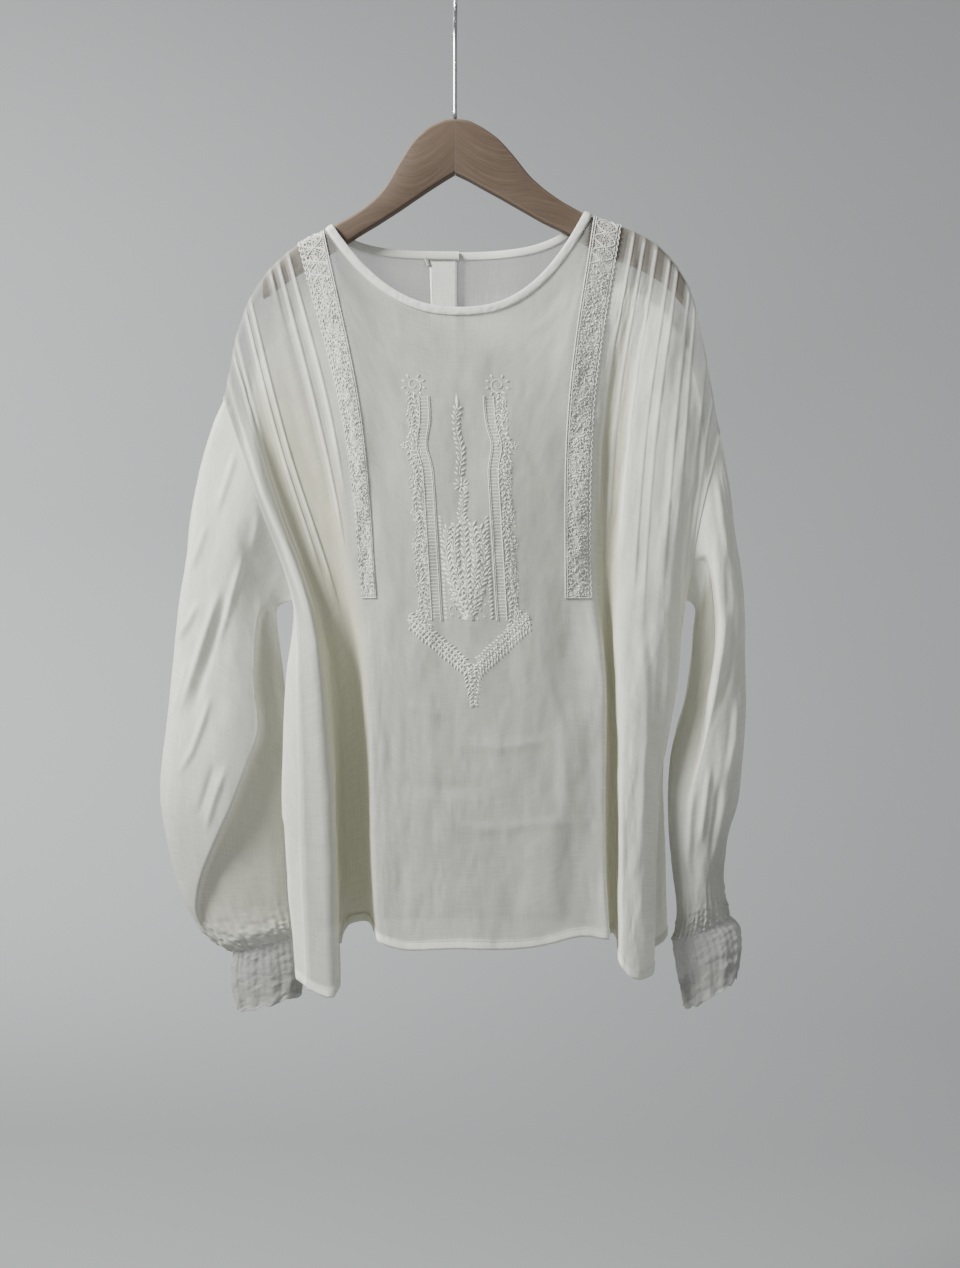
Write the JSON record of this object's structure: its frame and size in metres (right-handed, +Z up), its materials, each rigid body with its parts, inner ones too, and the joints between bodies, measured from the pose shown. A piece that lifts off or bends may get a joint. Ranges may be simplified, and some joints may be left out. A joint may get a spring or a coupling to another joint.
{
  "type": "embroidered blouse on a wooden hanger",
  "caption": "Loose white long-sleeved folk blouse with tucked shoulders, lace strips and an embroidered front, hanging on a flat wooden hanger with a steel hook.",
  "frame": {"origin": "inner top of the hook, where it hangs", "axes": "+Z up; the front of the blouse faces -Y; +X is to the right as seen from the front"},
  "size_m": [0.5372, 0.1065, 0.9592],
  "materials": {
    "cloth": "semi-sheer off-white plain weave with fine slubs",
    "trim": "doubled off-white plain weave, matt",
    "lace": "off-white open lace with a raised pattern",
    "button": "satin off-white",
    "wood": "matt grey-brown",
    "steel": "bright wire"
  },
  "bodies": {
    "root": {"front_panel": "cloth", "back_left": "cloth", "back_right": "cloth", "sleeve_left": "cloth", "sleeve_right": "cloth", "cuff_left": "trim", "cuff_right": "trim", "neck_binding_front": "trim", "neck_binding_back_left": "trim", "neck_binding_back_right": "trim", "back_placket": "trim", "lace_strip_left": "lace", "lace_strip_right": "lace", "neck_button": "button", "hanger_arm_left": "wood", "hanger_arm_right": "wood", "hanger_hook": "steel"}
  },
  "joints": []
}
